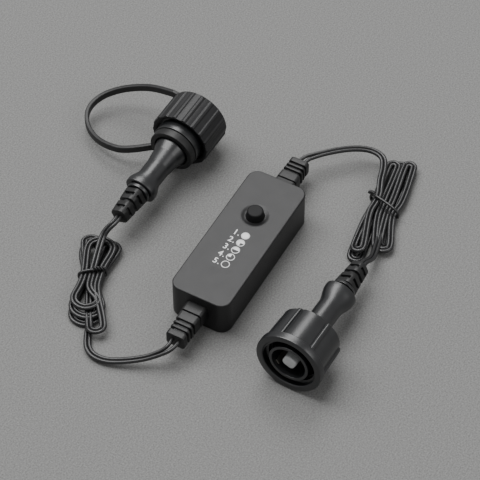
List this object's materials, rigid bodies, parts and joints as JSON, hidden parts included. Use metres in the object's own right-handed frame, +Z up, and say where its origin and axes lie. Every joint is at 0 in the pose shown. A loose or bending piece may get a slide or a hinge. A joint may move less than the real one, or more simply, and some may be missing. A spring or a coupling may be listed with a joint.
{
  "type": "light dimmer",
  "caption": "In-line low-voltage dimmer: slim box with one button, ribbed strain reliefs, tied twin cords, capped threaded plug and socket with union nut.",
  "frame": {"origin": "centre of the box's underside, with the cords and connectors left out", "axes": "+X along the box from the input cord to the output cord, +Y across it towards the capped plug, +Z up out of the button's face"},
  "size_m": [0.1581, 0.1677, 0.0306],
  "materials": {
    "housing_abs": "fine spark-eroded black ABS",
    "soft_pvc": "satin black soft PVC",
    "button_silicone": "satin black silicone",
    "connector_pp": "satin black moulded polypropylene",
    "cord_pvc": "black PVC sheath",
    "seal_silicone": "matt black silicone",
    "pale_plastic": "pale grey nylon",
    "insulator": "dark grey polyamide",
    "board_laminate": "green solder mask on glass laminate",
    "component_epoxy": "black moulding epoxy",
    "switch_body": "black nylon",
    "can_aluminium": "bare drawn aluminium",
    "contact_brass": "tin-plated brass",
    "zinc_steel": "zinc-plated steel",
    "wire_pvc": "red and black wire insulation"
  },
  "bodies": {
    "case": {"upper_shell": "housing_abs", "base_plate": "housing_abs", "base_gasket": "seal_silicone", "case_screws": "zinc_steel", "circuit_board": "board_laminate", "tactile_switch": "switch_body", "button_seal": "seal_silicone", "controller_chip": "component_epoxy", "power_transistor": "component_epoxy", "smoothing_capacitor": "can_aluminium", "reverse_diode": "component_epoxy", "voltage_regulator": "component_epoxy", "chip_resistors": "component_epoxy", "input_strain_relief": "soft_pvc", "output_strain_relief": "soft_pvc", "input_wires": "wire_pvc", "output_wires": "wire_pvc", "plug_body": "connector_pp", "plug_insert": "insulator", "plug_contacts": "contact_brass", "plug_seal": "seal_silicone", "plug_wires": "wire_pvc", "plug_strain_relief": "soft_pvc", "strap_ring": "soft_pvc", "cap_strap": "soft_pvc", "socket_body": "connector_pp", "socket_insert": "insulator", "center_stub": "pale_plastic", "socket_contacts": "contact_brass", "socket_seal": "seal_silicone", "socket_wires": "wire_pvc", "socket_strain_relief": "soft_pvc", "input_cord_a": "cord_pvc", "input_hank": "cord_pvc", "input_cord_b": "cord_pvc", "input_tie": "cord_pvc", "output_cord_a": "cord_pvc", "output_hank": "cord_pvc", "output_cord_b": "cord_pvc", "output_tie": "cord_pvc"},
    "button": {"button_key": "button_silicone", "switch_plunger": "switch_body"},
    "cap_carrier": {"strap_eyelet": "soft_pvc"},
    "cap": {"protective_cap": "connector_pp", "cap_gasket": "seal_silicone"},
    "nut": {"coupling_nut": "connector_pp"}
  },
  "joints": [
    {"name": "button_press", "type": "slide", "parent": "case", "child": "button", "axis": [0, 0, -1], "range_m": [0, 0.0006], "stiffness_N_per_m": 2500, "springref_m": -0.0002},
    {"name": "cap_pull", "type": "slide", "parent": "case", "child": "cap_carrier", "axis": [0.9993, -0.0279, 0.0262], "range_m": [0, 0.009], "deforming": ["cap_strap"]},
    {"name": "cap_turn", "type": "hinge", "parent": "cap_carrier", "child": "cap", "pos_m": [0.0389, 0.0523, 0.0145], "axis": [0.9993, -0.0279, 0.0262], "range_deg": [0, 1080]},
    {"name": "nut_spin", "type": "hinge", "parent": "case", "child": "nut", "pos_m": [-0.0468, -0.0489, 0.01545], "axis": [0.9977, -0.0279, -0.061], "continuous": true}
  ],
  "couplings": [
    {"joint": "cap_turn", "follows": "cap_pull", "rad_per_m": 2094.4}
  ]
}
